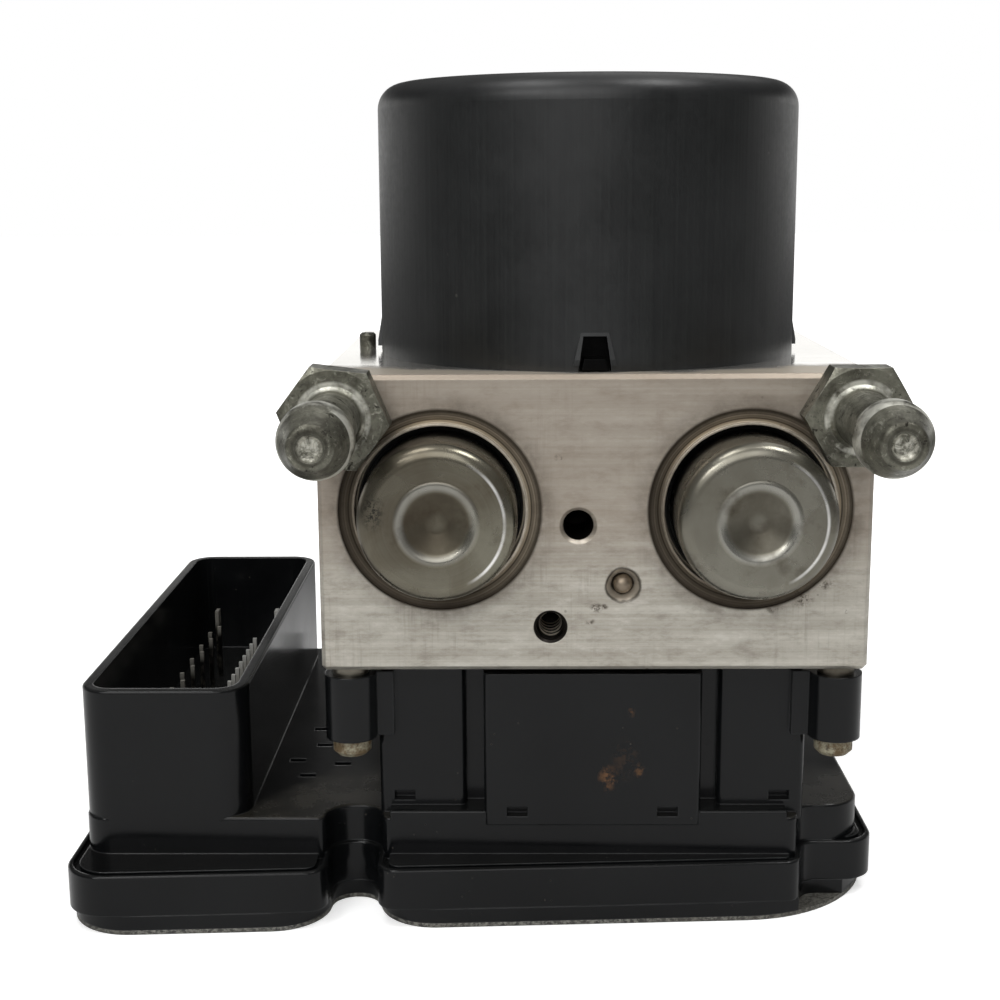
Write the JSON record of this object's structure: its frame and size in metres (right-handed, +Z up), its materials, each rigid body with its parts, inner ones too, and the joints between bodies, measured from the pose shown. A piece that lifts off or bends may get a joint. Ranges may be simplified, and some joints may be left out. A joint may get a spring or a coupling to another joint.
{
  "type": "abs brake module",
  "caption": "Anti-lock brake pressure modulator: machined valve block with pump motor on top, electronic control unit with connector shroud underneath and two mounting studs.",
  "frame": {"origin": "on the pump motor's axis, in the flat underside of the control unit's cover", "axes": "+Z up along the motor axis; -Y is the front, with the accumulator caps and mounting studs; +X to the right seen from the front, the connector shroud is at -X"},
  "size_m": [0.1521, 0.1535, 0.1528],
  "materials": {
    "block": "machined aluminium with fine horizontal tool marks",
    "can": "satin black painted deep drawn steel",
    "cap": "pressed zinc plated steel, slightly stained",
    "stud": "zinc plated steel with dark specks",
    "housing": "black glass filled plastic, satin",
    "cover": "grey speckled cover plate",
    "steel": "plain steel",
    "screw": "steel screws with rusty heads",
    "ball": "polished steel ball",
    "magnet": "ferrite",
    "lamination": "stacked steel laminations",
    "copper": "enamelled copper wire",
    "commutator": "turned copper",
    "carbon": "pressed carbon",
    "card": "brown black moulded plastic",
    "pin": "tin plated brass",
    "coil": "moulded coil housings",
    "valve": "turned steel",
    "board": "green circuit board",
    "chip": "black moulded packages",
    "seal": "black rubber"
  },
  "bodies": {
    "module": {"valve_block": "block", "ball_plug": "ball", "locating_pin": "steel", "motor_can": "can", "motor_end_plate": "steel", "lower_bearing": "steel", "upper_bearing": "steel", "motor_magnets": "magnet", "brush_card": "card", "carbon_brushes": "carbon", "terminal_guide": "card", "motor_terminals": "pin", "valve_cartridges": "valve", "valve_coils": "coil", "ecu_housing": "housing", "ecu_bottom_cover": "housing", "cover_plate": "cover", "ecu_seal": "seal", "circuit_board": "board", "control_chips": "chip", "connector_pins": "pin", "boss_bushes": "steel", "ecu_screws": "screw", "mounting_stud_left": "stud", "mounting_stud_right": "stud", "accumulator_cap_left": "cap", "accumulator_cap_right": "cap", "accumulator_spring_left": "steel", "accumulator_spring_right": "steel", "pump_spring_left": "steel", "pump_spring_right": "steel", "pump_plug_left": "steel", "pump_plug_right": "steel"},
    "rotor": {"armature_core": "lamination", "armature_windings": "copper", "commutator": "commutator", "rotor_shaft": "steel"},
    "pump_ring": {"eccentric_ring": "steel"},
    "accumulator_piston_body_left": {"accumulator_piston_left": "block", "accumulator_seal_left": "seal"},
    "pump_piston_body_left": {"pump_piston_left": "steel"},
    "accumulator_piston_body_right": {"accumulator_piston_right": "block", "accumulator_seal_right": "seal"},
    "pump_piston_body_right": {"pump_piston_right": "steel"}
  },
  "joints": [
    {"name": "rotor_spin", "type": "hinge", "parent": "module", "child": "rotor", "pos_m": [0, 0, 0.12], "axis": [0, 0, 1], "continuous": true},
    {"name": "ring_spin", "type": "hinge", "parent": "rotor", "child": "pump_ring", "pos_m": [0, 0.0012, 0.08], "axis": [0, 0, 1], "continuous": true},
    {"name": "accumulator_slide_left", "type": "slide", "parent": "module", "child": "accumulator_piston_body_left", "axis": [0, -1, 0], "range_m": [0, 0.009], "stiffness_N_per_m": 400, "deforming": ["accumulator_spring_left"]},
    {"name": "pump_slide_left", "type": "slide", "parent": "module", "child": "pump_piston_body_left", "axis": [1, 0, 0], "range_m": [0, 0.0012], "stiffness_N_per_m": 800, "deforming": ["pump_spring_left"]},
    {"name": "accumulator_slide_right", "type": "slide", "parent": "module", "child": "accumulator_piston_body_right", "axis": [0, -1, 0], "range_m": [0, 0.009], "stiffness_N_per_m": 400, "deforming": ["accumulator_spring_right"]},
    {"name": "pump_slide_right", "type": "slide", "parent": "module", "child": "pump_piston_body_right", "axis": [-1, 0, 0], "range_m": [0, 0.0012], "stiffness_N_per_m": 800, "deforming": ["pump_spring_right"]}
  ]
}
